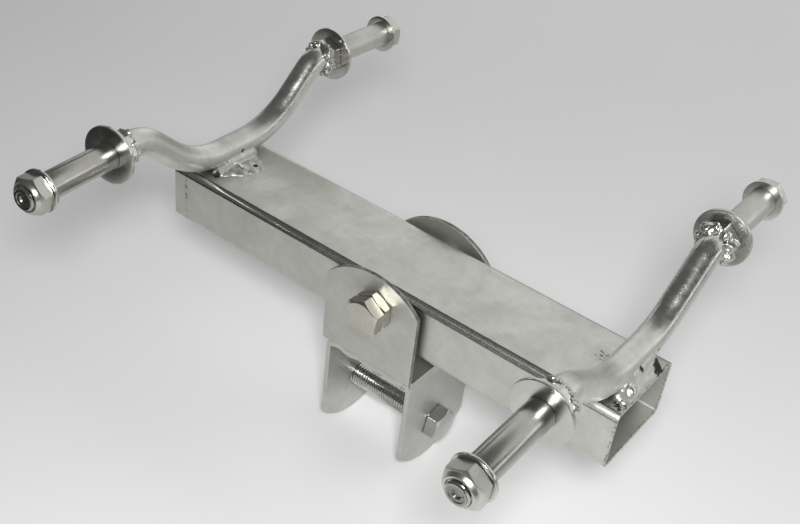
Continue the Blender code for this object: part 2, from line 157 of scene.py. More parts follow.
# Weld round each bolt head: how coarse it is, and how far it covers the hexagon in mm
HEAD_WELDS = {
    "left_front": (1.1, 0.6),
    "left_rear": (1.35, 2.0),
    "right_front": (1.15, 0.6),
    "right_rear": (1.6, 3.2),
}
HEX_TURNS = {"left_front": 3.0, "left_rear": 20.0, "right_front": 14.0, "right_rear": 41.0}


# ---------------------------------------------------------------- materials


class Graph:
    """A material's node tree, with short calls for the nodes used here."""

    def __init__(self, name):
        self.material = bpy.data.materials.new(name)
        self.material.use_nodes = True
        self.tree = self.material.node_tree
        self.shader = self.tree.nodes["Principled BSDF"]

    def add(self, kind, inputs=None, **settings):
        item = self.tree.nodes.new("ShaderNode" + kind)
        for key, value in settings.items():
            setattr(item, key, value)
        for key, value in (inputs or {}).items():
            self.feed(item.inputs[key], value)
        return item

    def feed(self, socket, value):
        if isinstance(value, bpy.types.NodeSocket):
            self.tree.links.new(value, socket)
        else:
            socket.default_value = value

    def math(self, operation, a, b=0.0, clamp=False):
        item = self.add("Math", {0: a, 1: b}, operation=operation, use_clamp=clamp)
        return item.outputs[0]

    def noise(self, vector, scale, detail=3.0, roughness=0.55, distortion=0.0):
        inputs = {
            "Vector": vector,
            "Scale": scale,
            "Detail": detail,
            "Roughness": roughness,
            "Distortion": distortion,
        }
        return self.add("TexNoise", inputs).outputs["Fac"]

    def remap(self, value, low, high, to_low=0.0, to_high=1.0):
        inputs = {
            "Value": value,
            "From Min": low,
            "From Max": high,
            "To Min": to_low,
            "To Max": to_high,
        }
        return self.add("MapRange", inputs, clamp=True).outputs["Result"]

    def mix(self, factor, first, second):
        item = self.add("Mix", data_type="RGBA")
        self.feed(item.inputs[0], factor)
        self.feed(item.inputs[6], first)
        self.feed(item.inputs[7], second)
        return item.outputs[2]

    def place(self, stretch=(1.0, 1.0, 1.0)):
        """Object coordinates, shifted for each object so that repeated pieces differ."""
        where = self.add("TexCoord").outputs["Object"]
        chance = self.add("ObjectInfo").outputs["Random"]
        shift = self.math("MULTIPLY", chance, 3.0)
        moved = self.add("VectorMath", {0: where, 1: shift}, operation="ADD").outputs[0]
        return self.add("Mapping", {"Vector": moved, "Scale": stretch}).outputs["Vector"]


def grey(level, warm=0.0):
    """A zinc grey in linear light; warm above zero leans to brown, below zero to blue."""
    return (level * (1.0 + warm), level * 1.005, level * (0.95 - 1.6 * warm), 1.0)


def zinc(
    name, light, dark, rough, grain, relief, speckle=0.0, soot=(), glossy_painted_glints=(), legs=None, dull_painted_shade=(),
    edge=None, cut=None, inside=None
):
    """Worn bright zinc between two tones and two roughnesses, with relief metres of bump.

    grain scales the fine texture along X, Y and Z: low along the drawn direction.
    speckle is the depth of its pits, as a share of the relief.
    soot lists burnt spots, and glossy_painted_glints glossier spots painted pale, a painted highlight:
    (centre, radius, share covered).
    legs, (roughness, depth of the orange peel), makes the part behind the beam glossier.
    dull_painted_shade lists places painted darker, a painted shade, and made rougher, with a soft edge:
    (centre, radius, their tone).
    edge, a point (x, y, z), marks a speckled band along X painted dark, a painted reflection, and pale
    beyond x, a painted highlight.
    cut, (axis, distance from the middle, patchiness), darkens sheared edges at that distance.
    inside, (half width in Y, low Z, high Z), is a hollow whose walls are painted paler, a painted
    reflection, and are rougher and slightly less metallic.
    """
    g = Graph(name)
    where = g.place()
    blotch = g.noise(where, 38.0, 4.0, 0.6, 0.6)
    cloud = g.noise(where, 140.0, 3.0, 0.6)
    drawn = g.noise(g.place(grain), 1.0, 4.0, 0.7)
    fine = g.noise(where, 1500.0, 2.0, 0.6)
    tone = g.math("MULTIPLY", blotch, 0.55)
    tone = g.math("ADD", tone, g.math("MULTIPLY", cloud, 0.25))
    tone = g.math("ADD", tone, g.math("MULTIPLY", drawn, 0.20))
    colour = g.mix(g.remap(tone, 0.34, 0.66), dark, light)
    roughness = g.remap(g.math("ADD", tone, g.math("MULTIPLY", fine, 0.25)), 0.35, 0.85, rough[1], rough[0])
    height = g.math("ADD", g.math("MULTIPLY", drawn, 0.6), g.math("MULTIPLY", cloud, 0.5))
    height = g.math("ADD", height, g.math("MULTIPLY", fine, 0.25))
    metallic = 1.0
    if speckle:
        grit = g.add("TexVoronoi", {"Vector": where, "Scale": 900.0}).outputs["Distance"]
        pits = g.remap(g.noise(where, 60.0, 2.0), 0.42, 0.62)
        pits = g.math("MULTIPLY", pits, g.remap(grit, 0.15, 0.55, 1.0, 0.0))
        height = g.math("SUBTRACT", height, g.math("MULTIPLY", pits, speckle))
    spots = g.add("TexCoord").outputs["Object"]
    if legs:
        depth_y = g.add("SeparateXYZ", {"Vector": spots}).outputs["Y"]
        rising = g.remap(g.math("ADD", depth_y, g.math("MULTIPLY", blotch, 0.02)), 0.034, 0.058)
        glossy = g.remap(cloud, 0.3, 0.7, legs[0], legs[0] * 1.7)
        roughness = g.add("Mix", {0: rising, 2: roughness, 3: glossy}, data_type="FLOAT").outputs[0]
        peel = g.math("MULTIPLY", g.noise(where, 620.0, 2.0, 0.5), rising)
        height = g.math("ADD", height, g.math("MULTIPLY", peel, legs[1] / relief))
    if cut:
        place = g.math("ABSOLUTE", g.add("SeparateXYZ", {"Vector": spots}).outputs[cut[0]])
        away = g.math("ABSOLUTE", g.math("SUBTRACT", place, cut[1]))
        sheared = g.remap(away, 0.0013, 0.0016, 1.0, 0.0)
        patches = g.remap(g.noise(where, 420.0, 3.0, 0.7), 0.50, 0.58)
        sheared = g.math("MULTIPLY", sheared, g.remap(patches, 0.0, 1.0, 1.0 - cut[2], 1.0))
        torn = g.mix(g.remap(cloud, 0.4, 0.6), grey(0.05, 0.03), grey(0.24, 0.03))
        colour = g.mix(g.math("MULTIPLY", sheared, 0.85), colour, torn)
        roughness = g.math("MAXIMUM", roughness, g.math("MULTIPLY", sheared, 0.38))
    # The hollow's inner walls are painted paler, a painted reflection, and made rougher and slightly less
    # metallic.
    if inside:
        apart = g.add("SeparateXYZ", {"Vector": spots}).outputs
        hollow = g.math("LESS_THAN", g.math("ABSOLUTE", apart["Y"]), inside[0])
        hollow = g.math("MULTIPLY", hollow, g.math("GREATER_THAN", apart["Z"], inside[1]))
        hollow = g.math("MULTIPLY", hollow, g.math("LESS_THAN", apart["Z"], inside[2]))
        colour = g.mix(g.math("MULTIPLY", hollow, 0.3), colour, grey(0.6, -0.01))
        roughness = g.math("MAXIMUM", roughness, g.math("MULTIPLY", hollow, 0.5))
        metallic = g.math("SUBTRACT", 1.0, g.math("MULTIPLY", hollow, 0.06))
    # A speckled band along the front top corner: its dark tone is a painted reflection, its pale right end a
    # painted highlight.
    if edge:
        colour, roughness, height = speckled_painted_reflection_band(g, spots, edge, colour, roughness, height)
    # Each of these spots is painted a darker tone, a painted shade, and made rougher.
    for centre, radius, share in dull_painted_shade:
        apart = g.add("VectorMath", {0: spots, 1: centre}, operation="DISTANCE").outputs["Value"]
        mark = g.remap(g.math("DIVIDE", apart, radius), 0.7, 1.1, 1.0, 0.0)
        mark = g.math("MULTIPLY", mark, g.remap(cloud, 0.2, 0.6, 0.7, 1.0))
        colour = g.mix(mark, colour, grey(share))
        roughness = g.math("MAXIMUM", roughness, g.math("MULTIPLY", mark, 0.34))
    # Glossier spots painted pale: a painted highlight.
    for centre, radius, cover in glossy_painted_glints:
        mark = spot_mask(g, spots, centre, radius, cover, 500.0)
        colour = g.mix(g.math("MULTIPLY", mark, 0.8), colour, grey(0.85))
        roughness = g.math("SUBTRACT", roughness, g.math("MULTIPLY", mark, 0.18))
    for centre, radius, cover in soot:
        mark = spot_mask(g, spots, centre, radius, cover, 420.0)
        colour = g.mix(mark, colour, grey(0.012, 0.1))
        roughness = g.math("MAXIMUM", roughness, g.math("MULTIPLY", mark, 0.75))
        metallic = g.math("MINIMUM", metallic, g.math("SUBTRACT", 1.0, g.math("MULTIPLY", mark, 0.8)))
    bump = g.add("Bump", {"Height": height, "Strength": 1.0, "Distance": relief})
    g.feed(g.shader.inputs["Base Color"], colour)
    g.feed(g.shader.inputs["Roughness"], roughness)
    g.feed(g.shader.inputs["Metallic"], metallic)
    g.feed(g.shader.inputs["Normal"], bump.outputs["Normal"])
    return g.material


def speckled_painted_reflection_band(g, where, middle, colour, roughness, height):
    """A speckled band along X round the line through middle, with a dark line at each side.

    It is smooth towards the left end, speckled and painted dark in the middle, a painted reflection,
    and painted pale beyond middle's x, a painted highlight.
    """
    flat = g.add("VectorMath", {0: where, 1: (0.0, 1.0, 1.0)}, operation="MULTIPLY").outputs[0]
    centre = (0.0, middle[1], middle[2])
    apart = g.add("VectorMath", {0: flat, 1: centre}, operation="DISTANCE").outputs["Value"]
    along = g.add("SeparateXYZ", {"Vector": where}).outputs["X"]
    # worn is 1 beyond middle's x, where the band is painted pale: a painted highlight.
    worn = g.remap(along, middle[0] - 0.002, middle[0] + 0.002)
    wander = g.math("MULTIPLY", g.noise(where, 60.0), 0.03)
    painted_band_reach = g.remap(g.math("ADD", along, wander), -0.075, -0.045)
    ragged = g.math("MULTIPLY", g.noise(where, 300.0, 3.0), 0.0012)
    apart = g.math("ADD", apart, ragged)
    band = g.remap(apart, 0.0036, 0.0044, 1.0, 0.0)
    line = g.math("MULTIPLY", g.remap(apart, 0.0032, 0.0037), g.remap(apart, 0.0044, 0.0050, 1.0, 0.0))
    grit = g.noise(where, 1300.0, 3.0, 0.7)
    # Dark speckle, a painted reflection, turning pale beyond middle's x, a painted highlight.
    speckled = g.mix(g.remap(grit, 0.40, 0.62), grey(0.11), grey(0.54))
    speckled = g.mix(worn, speckled, g.mix(g.remap(grit, 0.35, 0.5), grey(0.6), grey(0.95)))
    glossed = g.math("MULTIPLY", band, g.math("SUBTRACT", 1.0, painted_band_reach))
    band = g.math("MULTIPLY", band, painted_band_reach)
    colour = g.mix(g.math("MULTIPLY", band, 0.8), colour, speckled)
    # Thin dark lines painted along each side of the band.
    colour = g.mix(g.math("MULTIPLY", line, 0.75), colour, grey(0.08))
    roughness = g.math("MAXIMUM", roughness, g.math("MULTIPLY", band, 0.42))
    roughness = g.add("Mix", {0: glossed, 2: roughness, 3: 0.2}, data_type="FLOAT").outputs[0]
    height = g.math("ADD", height, g.math("MULTIPLY", g.math("MULTIPLY", band, grit), 2.0))
    return colour, roughness, height


def spot_mask(g, where, centre, radius, cover, scale):
    """1 inside an irregular, speckled spot round centre, fading to 0 at its radius."""
    apart = g.add("VectorMath", {0: where, 1: centre}, operation="DISTANCE").outputs["Value"]
    near = g.math("SUBTRACT", 1.0, g.math("DIVIDE", apart, radius), clamp=True)
    patches = g.noise(where, scale, 4.0, 0.65)
    level = g.math("ADD", patches, g.math("MULTIPLY", near, cover))
    seen = g.remap(level, 0.78, 0.86)
    return g.math("MULTIPLY", seen, g.remap(near, 0.0, 0.15))


def nylon():
    g = Graph("nylon")
    where = g.place()
    tone = g.remap(g.noise(where, 400.0, 3.0), 0.3, 0.7)
    g.feed(g.shader.inputs["Base Color"], g.mix(tone, grey(0.03), grey(0.075)))
    g.feed(g.shader.inputs["Roughness"], g.remap(tone, 0.0, 1.0, 0.42, 0.6))
    bump = g.add("Bump", {"Height": g.noise(where, 1800.0), "Strength": 1.0, "Distance": 0.00003})
    g.feed(g.shader.inputs["Normal"], bump.outputs["Normal"])
    return g.material


# ---------------------------------------------------------------- mesh tools


def skin(bm, rings, ring_closed=False):
    """Join rings of equal count with quads, closed round each ring and capped at open ends."""
    loops = [[bm.verts.new(point) for point in ring] for ring in rings]
    count = len(loops[0])
    pairs = list(zip(loops, loops[1:]))
    if ring_closed:
        pairs.append((loops[-1], loops[0]))
    for first, second in pairs:
        for i in range(count):
            j = (i + 1) % count
            bm.faces.new((first[i], first[j], second[j], second[i]))
    if not ring_closed:
        bm.faces.new(loops[0])
        bm.faces.new(loops[-1])


def circle(radius, height, segments):
    ring = []
    for i in range(segments):
        angle = 2.0 * math.pi * i / segments
        ring.append((radius * math.cos(angle), radius * math.sin(angle), height))
    return ring


def turned(profile, segments=96, bored=True):
    """Turn a profile of (radius, height) pairs about Z."""
    bm = bmesh.new()
    skin(bm, [circle(radius, height, segments) for radius, height in profile], bored)
    return bm


def round_corners(profile, radius, steps=4, closed=True):
    """Replace each corner of a flat outline by an arc that touches both its sides."""
    points = []
    count = len(profile)
    for i, corner in enumerate(profile):
        if not closed and i in (0, count - 1):
            points.append(corner)
            continue
        here = Vector(corner)
        back = Vector(profile[i - 1]) - here
        ahead = Vector(profile[(i + 1) % count]) - here
        half = 0.5 * back.angle(ahead)
        fit = min(radius, 0.45 * min(back.length, ahead.length) * math.tan(half))
        reach = fit / math.tan(half)
        first = here + back.normalized() * reach
        last = here + ahead.normalized() * reach
        centre = here + (back.normalized() + ahead.normalized()).normalized() * (fit / math.sin(half))
        start = math.atan2(first.y - centre.y, first.x - centre.x)
        sweep = math.atan2(last.y - centre.y, last.x - centre.x) - start
        sweep = (sweep + math.pi) % (2.0 * math.pi) - math.pi
        for k in range(steps + 1):
            angle = start + sweep * k / steps
            points.append((centre.x + fit * math.cos(angle), centre.y + fit * math.sin(angle)))
    return points


def hex_outline(flats, turn, corner=0.5 * MM, per_flat=8):
    """A hexagon with slightly rounded corners and points spread along its sides."""
    tip = (0.5 * flats - corner) / math.cos(math.pi / 6.0)
    points = []
    for k in range(6):
        middle = turn + k * math.pi / 3.0
        centre = Vector((tip * math.cos(middle), tip * math.sin(middle)))
        for step in range(-2, 3):
            angle = middle + step * math.pi / 12.0
            points.append(centre + corner * Vector((math.cos(angle), math.sin(angle))))
        following = middle + math.pi / 3.0
        middle += math.pi / 6.0
        start = points[-1]
        end = Vector((tip * math.cos(following), tip * math.sin(following)))
        end += corner * Vector((math.cos(middle), math.sin(middle)))
        for step in range(1, per_flat):
            points.append(start.lerp(end, step / per_flat))
    return points


def lifted(outline, height, chamfer=None, outward=1.0):
    """The outline as a ring at a height that falls away outside the chamfer circle."""
    ring = []
    for point in outline:
        drop = 0.0
        if chamfer is not None:
            drop = max(0.0, point.length - chamfer) * math.tan(math.radians(30.0))
        ring.append((point.x, point.y, height - outward * drop))
    return ring


def matched_circle(outline, radius, height):
    """A circle whose points lie at the same angles as the outline's."""
    return [(*(point.normalized() * radius), height) for point in outline]


def hex_head(bm, flats, low, high, turn, corner=0.5 * MM):
    """Hexagon head, chamfered at high and with a washer face at low."""
    outline = hex_outline(flats, turn, corner)
    chamfer = 0.478 * flats
    outward = 1.0 if high > low else -1.0
    rim = 0.7 * corner * outward
    rings = [
        matched_circle(outline, chamfer * 0.965, high),
        matched_circle(outline, chamfer, high - 0.2 * rim),
        lifted(outline, high - 0.3 * rim, chamfer, outward),
        lifted(outline, low + rim),
        matched_circle(outline, 0.475 * flats, low + rim),
        matched_circle(outline, 0.470 * flats, low),
    ]
    skin(bm, rings)


def plain_nut(flats, low, high, bore, turn):
    bm = bmesh.new()
    outline = hex_outline(flats, turn)
    chamfer = 0.478 * flats
    rings = [
        matched_circle(outline, bore, low + 1.0 * MM),
        matched_circle(outline, bore + 1.0 * MM, low),
        matched_circle(outline, chamfer, low),
        lifted(outline, low, chamfer, -1.0),
        lifted(outline, high, chamfer, 1.0),
        matched_circle(outline, chamfer, high),
        matched_circle(outline, bore + 1.0 * MM, high),
        matched_circle(outline, bore, high - 1.0 * MM),
    ]
    skin(bm, rings, True)
    return bm


def lock_nut(flats, low, bore, turn):
    """Self-locking nut: a hexagon whose turned rim is rolled over a nylon ring."""
    bm = bmesh.new()
    outline = hex_outline(flats, turn)
    chamfer = 0.478 * flats
    shoulder = low + NUT_HEX
    top = shoulder + NUT_DOME
    rings = [
        matched_circle(outline, bore, low + 0.8 * MM),
        matched_circle(outline, bore + 0.8 * MM, low),
        matched_circle(outline, chamfer, low),
        lifted(outline, low, chamfer, -1.0),
        lifted(outline, shoulder, chamfer, 1.0),
        matched_circle(outline, chamfer, shoulder),
        matched_circle(outline, 0.462 * flats, shoulder + 0.1 * MM),
    ]
    rim = [(0.455 * flats, shoulder + 0.2 * MM), (10.9 * MM, top), (9.4 * MM, top)]
    for radius, height in round_corners(rim, 1.0 * MM, 4, False):
        rings.append(matched_circle(outline, radius, height))
    rings.append(matched_circle(outline, 9.3 * MM, top - 0.4 * MM))
    rings.append(matched_circle(outline, 9.4 * MM, top - 0.8 * MM))
    rings.append(matched_circle(outline, 11.0 * MM, top - 0.9 * MM))
    rings.append(matched_circle(outline, 11.0 * MM, shoulder))
    rings.append(matched_circle(outline, bore, shoulder))
    skin(bm, rings, True)
    return bm


def thread(bm, radius, low, high, chamfer_low=True, chamfer_high=True, dimple=False, depth=1.4 * MM):
    """A rod with a right-hand thread; its rows follow the helix, and its ends are flat."""
    segments = 48
    profile = ((0.0, 0.0), (0.14, 0.0), (0.42, depth), (0.70, depth))
    rows_per_turn = len(profile)
    turns = int((high - low) / PITCH) + 3
    start = low - 1.5 * PITCH
    rows = []
    for k in range(turns * rows_per_turn + 1):
        share, cut = profile[k % rows_per_turn]
        base = start + PITCH * (k // rows_per_turn + share)
        row = []
        for i in range(segments):
            angle = 2.0 * math.pi * i / segments
            z = base + PITCH * i / segments
            reach = radius - cut
            if chamfer_high:
                reach = min(reach, radius - depth * 0.9 + max(0.0, high - z))
            if chamfer_low:
                reach = min(reach, radius - depth * 0.9 + max(0.0, z - low))
            row.append(bm.verts.new((reach * math.cos(angle), reach * math.sin(angle), z)))
        rows.append(row)
    for k in range(len(rows) - 1):
        for i in range(segments - 1):
            bm.faces.new((rows[k][i], rows[k][i + 1], rows[k + 1][i + 1], rows[k + 1][i]))
    last = segments - 1
    for k in range(len(rows) - 1 - rows_per_turn):
        up = k + rows_per_turn
        bm.faces.new((rows[k][last], rows[up][0], rows[up + 1][0], rows[k + 1][last]))
    for height, clear_outer in ((low, False), (high, True)):
        bmesh.ops.bisect_plane(
            bm,
            geom=bm.verts[:] + bm.edges[:] + bm.faces[:],
            plane_co=(0.0, 0.0, height),
            plane_no=(0.0, 0.0, 1.0),
            clear_outer=clear_outer,
            clear_inner=not clear_outer,
        )
    for height in (low, high):
        rim = [e for e in bm.edges if e.is_boundary and all(abs(v.co.z - height) < 1e-6 for v in e.verts)]
        made = bmesh.ops.contextual_create(bm, geom=rim)["faces"]
        if dimple and height == high:
            bmesh.ops.inset_region(bm, faces=made, thickness=0.20 * radius)
            bmesh.ops.inset_region(bm, faces=made, thickness=0.06 * radius, depth=-0.5 * MM)
            bmesh.ops.inset_region(bm, faces=made, thickness=0.22 * radius)
            bmesh.ops.inset_region(bm, faces=made, thickness=0.12 * radius, depth=-1.2 * MM)


def sweep(path, radius, segments=40):
    """Round bar along a path; each ring is carried on from the one before."""
    bm = bmesh.new()
    rings = []
    side = Vector((1.0, 0.0, 0.0))
    for i, point in enumerate(path):
        ahead = path[min(i + 1, len(path) - 1)]
        behind = path[max(i - 1, 0)]
        tangent = (ahead - behind).normalized()
        side = (side - tangent * side.dot(tangent)).normalized()
        up = tangent.cross(side)
        ring = []
        for k in range(segments):
            angle = 2.0 * math.pi * k / segments
            ring.append(point + side * (radius * math.cos(angle)) + up * (radius * math.sin(angle)))
        rings.append(ring)
    skin(bm, rings)
    return bm


def fillet(before, knee, after, radius, steps):
    """Points of the arc that rounds a knee between two straight lines."""
    back = (before - knee).normalized()
    ahead = (after - knee).normalized()
    half = 0.5 * back.angle(ahead)
    reach = radius / math.tan(half)
    centre = knee + (back + ahead).normalized() * (radius / math.sin(half))
    first = knee + back * reach - centre
    last = knee + ahead * reach - centre
    normal = first.cross(last).normalized()
    sweep_angle = first.angle(last)
    return [centre + Matrix.Rotation(sweep_angle * i / steps, 3, normal) @ first for i in range(steps + 1)]


def raw_object(name, bm):
    bmesh.ops.recalc_face_normals(bm, faces=bm.faces[:])
    mesh = bpy.data.meshes.new(name)
    bm.to_mesh(mesh)
    bm.free()
    item = bpy.data.objects.new(name, mesh)
    bpy.context.scene.collection.objects.link(item)
    return item


def modify(item, kind, **settings):
    modifier = item.modifiers.new(kind.title(), kind)
    for key, value in settings.items():
        setattr(modifier, key, value)
    return modifier


def freeze(item):
    """Apply the object's modifiers to its mesh."""
    seen = item.evaluated_get(bpy.context.evaluated_depsgraph_get())
    mesh = bpy.data.meshes.new_from_object(seen)
    item.modifiers.clear()
    item.data = mesh
    return item


def carve(item, operation, bm, matrix=None):
    """Boolean the object with a throwaway cutter."""
    cutter = raw_object("cutter", bm)
    if matrix is not None:
        cutter.matrix_world = matrix
    modify(item, "BOOLEAN", operation=operation, solver="EXACT", object=cutter)
    bpy.context.view_layer.update()
    freeze(item)
    bpy.data.objects.remove(cutter)


def drill(item, radius, matrix, reach=70.0 * MM):
    """Cut a round hole along the matrix's Z, as far as reach to each side."""
    carve(item, "DIFFERENCE", turned([(radius, -reach), (radius, reach)], 64, False), matrix)


def soften(item, width=EDGE_ROUND, segments=2, angle=35.0):
    """Break every sharp edge, keeping the flats flat."""
    item.data.shade_smooth()
    limit = math.radians(angle)
    modify(item, "BEVEL", width=width, segments=segments, limit_method="ANGLE", angle_limit=limit)
    modify(item, "WEIGHTED_NORMAL", keep_sharp=False, weight=100)
    return freeze(item)


def finish(item, material, nodes, matrix=None, sharp=None):
    """Dress a piece and let it stand for its CAD nodes on their body."""
    item.data.materials.clear()
    item.data.materials.append(material)
    if sharp is not None:
        item.data.shade_smooth()
        item.data.set_sharp_from_angle(angle=math.radians(sharp))
    if matrix is not None:
        item.matrix_world = matrix
    bodies = frame["record"]["behaviour"]["bodies"]
    body = next(name for name, members in bodies.items() if nodes[0] in members)
    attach(item, body)
    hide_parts(*nodes)
    return item


# ---------------------------------------------------------------- places read from the frame


def axis_matrix(origin, outward):
    """A frame with Z along outward, turned as the CAD turns its axles."""
    outward = Vector(outward).normalized()
    across = outward.cross(Vector((0.0, 0.0, 1.0))).normalized()
    third = outward.cross(across)
    turn = Matrix((across, third, outward)).transposed().to_4x4()
    return Matrix.Translation(Vector(origin)) @ turn


JOINTS = {joint["name"]: joint for joint in frame["joints"]}
FORK_LOW, FORK_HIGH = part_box("fork_bracket")
CLAMP_LOW, CLAMP_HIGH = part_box("clamp_bracket")
BEAM_LOW, BEAM_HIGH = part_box("beam_tube")
BOLT_LOW, BOLT_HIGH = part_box("clamp_bolt")
PIVOT_LOW, PIVOT_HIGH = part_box("pivot_bolt")
PIVOT = Vector(JOINTS["beam_rock"]["pos_m"])
CLAMP_Z = 0.5 * (BOLT_LOW.z + BOLT_HIGH.z)


def axle_matrix(name):
    joint = JOINTS[name + "_sleeve_spin"]
    return axis_matrix(joint["pos_m"], joint["axis"])


def axle_point(name, along):
    return axle_matrix(name) @ Vector((0.0, 0.0, along))


def arm_x(arm):
    """The bar's X where it crosses the beam: midway between the welds beside it."""
    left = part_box(arm + "_arm_weld_left")
    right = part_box(arm + "_arm_weld_right")
    return 0.25 * (left[0].x + left[1].x + right[0].x + right[1].x)


def arm_leg(name, bar_x):
    """Points of one leg of a bent bar, from the welded bolt head down to the beam."""
    run, low_y, upper_bend, lower_bend = BENDS[name]
    head = -AXLE_HEAD - 0.1 * MM
    end = axle_point(name, head)
    knee = axle_point(name, head - run * MM)
    level = BEAM_HIGH.z + BAR_RADIUS + 0.1 * MM
    low = Vector((bar_x, math.copysign(low_y * MM, end.y), level))
    middle = Vector((bar_x, 0.0, level))
    points = [end]
    points += fillet(end, knee, low, upper_bend * MM, 14)
    points += fillet(knee, low, middle, lower_bend * MM, 26)
    return points


def arm_path(arm):
    """Middle line of a bent bar, from one welded bolt head to the other."""
    bar_x = arm_x(arm)
    return arm_leg(arm + "_front", bar_x) + arm_leg(arm + "_rear", bar_x)[::-1]


# ---------------------------------------------------------------- bracket


def bent_outline(half_outer, low, tip, steps=12):
    """Section of a plate bent into a U that opens towards tip."""
    sign = 1.0 if tip > low else -1.0
    outer = BEND_INNER + PLATE
    inner_half = half_outer - PLATE
    right = []
    for k in range(steps + 1):
        angle = -0.5 * math.pi + 0.5 * math.pi * k / steps
        u = half_outer - outer + outer * math.cos(angle)
        right.append((u, low + sign * (outer + outer * math.sin(angle))))
    right.append((half_outer, tip))
    right.append((inner_half, tip))
    for k in range(steps + 1):
        angle = -0.5 * math.pi * k / steps
        u = inner_half - BEND_INNER + BEND_INNER * math.cos(angle)
        right.append((u, low + sign * (PLATE + BEND_INNER + BEND_INNER * math.sin(angle))))
    return right + [(-u, v) for u, v in reversed(right)]


def arched_outline(half_width, low, tip, steps=48):
    """Outline of a plate seen square on: straight sides and an arched end."""
    sign = 1.0 if tip > low else -1.0
    radius = (half_width ** 2 + ARCH_RISE ** 2) / (2.0 * ARCH_RISE)
    half_angle = math.asin(half_width / radius)
    points = [(-half_width, low), (half_width, low)]
    for k in range(steps + 1):
        angle = half_angle - 2.0 * half_angle * k / steps
        points.append((radius * math.sin(angle), tip - sign * radius * (1.0 - math.cos(angle))))
    return points


def prism(points, low, high, place):
    bm = bmesh.new()
    skin(bm, [[place(u, v, depth) for u, v in points] for depth in (low, high)])
    return bm


def along_x(u, v, depth):
    return (depth, u, v)


def along_y(u, v, depth):
    return (u, depth, v)


def build_fork(material):
    section = bent_outline(FORK_HIGH.y, FORK_LOW.z, FORK_HIGH.z + 10.0 * MM)
    item = raw_object("fork_plate", prism(section, -0.06, 0.06, along_x))
    outline = arched_outline(FORK_HIGH.x, FORK_LOW.z - 10.0 * MM, FORK_HIGH.z)
    carve(item, "INTERSECT", prism(outline, -0.07, 0.07, along_y))
    hole = Matrix.Translation((PIVOT.x, 0.0, PIVOT.z)) @ Matrix.Rotation(math.radians(90.0), 4, "X")
    drill(item, PIVOT_THREAD + 0.3 * MM, hole)
    finish(soften(item), material, ["fork_bracket"])


def build_clamp(material):
    section = bent_outline(CLAMP_HIGH.x, CLAMP_HIGH.z, CLAMP_LOW.z - 10.0 * MM)
    item = raw_object("clamp_plate", prism(section, -0.06, 0.06, along_y))
    outline = arched_outline(CLAMP_HIGH.y, CLAMP_HIGH.z + 10.0 * MM, CLAMP_LOW.z)
    carve(item, "INTERSECT", prism(outline, -0.07, 0.07, along_x))
    hole = Matrix.Translation((0.0, 0.0, CLAMP_Z)) @ Matrix.Rotation(math.radians(90.0), 4, "Y")
    drill(item, CLAMP_THREAD + 0.4 * MM, hole)
    finish(soften(item), material, ["clamp_bracket"])


def build_clamp_bolt(material):
    matrix = Matrix.Translation((0.0, 0.0, CLAMP_Z)) @ Matrix.Rotation(math.radians(90.0), 4, "Y")
    face = CLAMP_HIGH.x + 0.1 * MM
    bm = bmesh.new()
    thread(bm, CLAMP_THREAD, BOLT_LOW.x, face + 1.0 * MM, chamfer_high=False, depth=0.95 * MM)
    hex_head(bm, CLAMP_FLATS, face, BOLT_HIGH.x, math.radians(46.0), 0.9 * MM)
    finish(raw_object("clamp_screw", bm), material, ["clamp_bolt"], matrix, 32.0)
    nut_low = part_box("clamp_nut")[0]
    bm = plain_nut(CLAMP_FLATS, nut_low.x, -face, CLAMP_THREAD - 0.8 * MM, math.radians(17.0))
    finish(raw_object("clamp_hex_nut", bm), material, ["clamp_nut"], matrix, 32.0)


def build_pivot(material):
    matrix = Matrix.Translation((PIVOT.x, 0.0, PIVOT.z)) @ Matrix.Rotation(math.radians(90.0), 4, "X")
    front_low, front_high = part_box("pivot_front_nut")
    rear_low, rear_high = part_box("pivot_rear_nut")
    bm = bmesh.new()
    thread(bm, PIVOT_THREAD, -PIVOT_HIGH.y, -front_low.y + 1.0 * MM, chamfer_high=False)
    hex_head(bm, PIVOT_FLATS, -front_low.y + 0.1 * MM, -PIVOT_LOW.y, math.radians(25.0))
    finish(raw_object("pivot_screw", bm), material, ["pivot_bolt"], matrix, 32.0)
    bore = PIVOT_THREAD - 0.8 * MM
    bm = plain_nut(PIVOT_FLATS, -front_high.y, -front_low.y, bore, math.radians(29.0))
    finish(raw_object("pivot_spacer_nut", bm), material, ["pivot_front_nut"], matrix, 32.0)
    bm = plain_nut(PIVOT_FLATS, -rear_high.y, -rear_low.y, bore, math.radians(8.0))
    finish(raw_object("pivot_end_nut", bm), material, ["pivot_rear_nut"], matrix, 32.0)


# ---------------------------------------------------------------- welds


def weld_mass(name, drops, voxel, lump, seed, smoothing=3, floor=-math.inf):
    """Melt many drops, each (centre, half sizes), into one lumpy bead, cut off below floor."""
    bm = bmesh.new()
    for centre, size in drops:
        scale = Matrix.Diagonal((size[0], size[1], size[2], 1.0))
        bmesh.ops.create_icosphere(bm, subdivisions=3, radius=1.0, matrix=Matrix.Translation(centre) @ scale)
    item = raw_object(name, bm)
    modify(item, "REMESH", mode="VOXEL", voxel_size=voxel)
    modify(item, "SMOOTH", factor=0.5, iterations=smoothing)
    freeze(item)
    mesh = item.data
    shift = Vector((seed * 3.1, seed * 1.7, seed * 0.9))
    moved = []
    for vert in mesh.vertices:
        coarse = noise.noise(vert.co * 260.0 + shift)
        fine = noise.noise(vert.co * 900.0 + shift)
        moved.append(vert.co + vert.normal * (lump * (coarse + 0.45 * fine)))
    for vert, point in zip(mesh.vertices, moved):
        vert.co = (point.x, point.y, max(point.z, floor))
    mesh.shade_smooth()
    return item


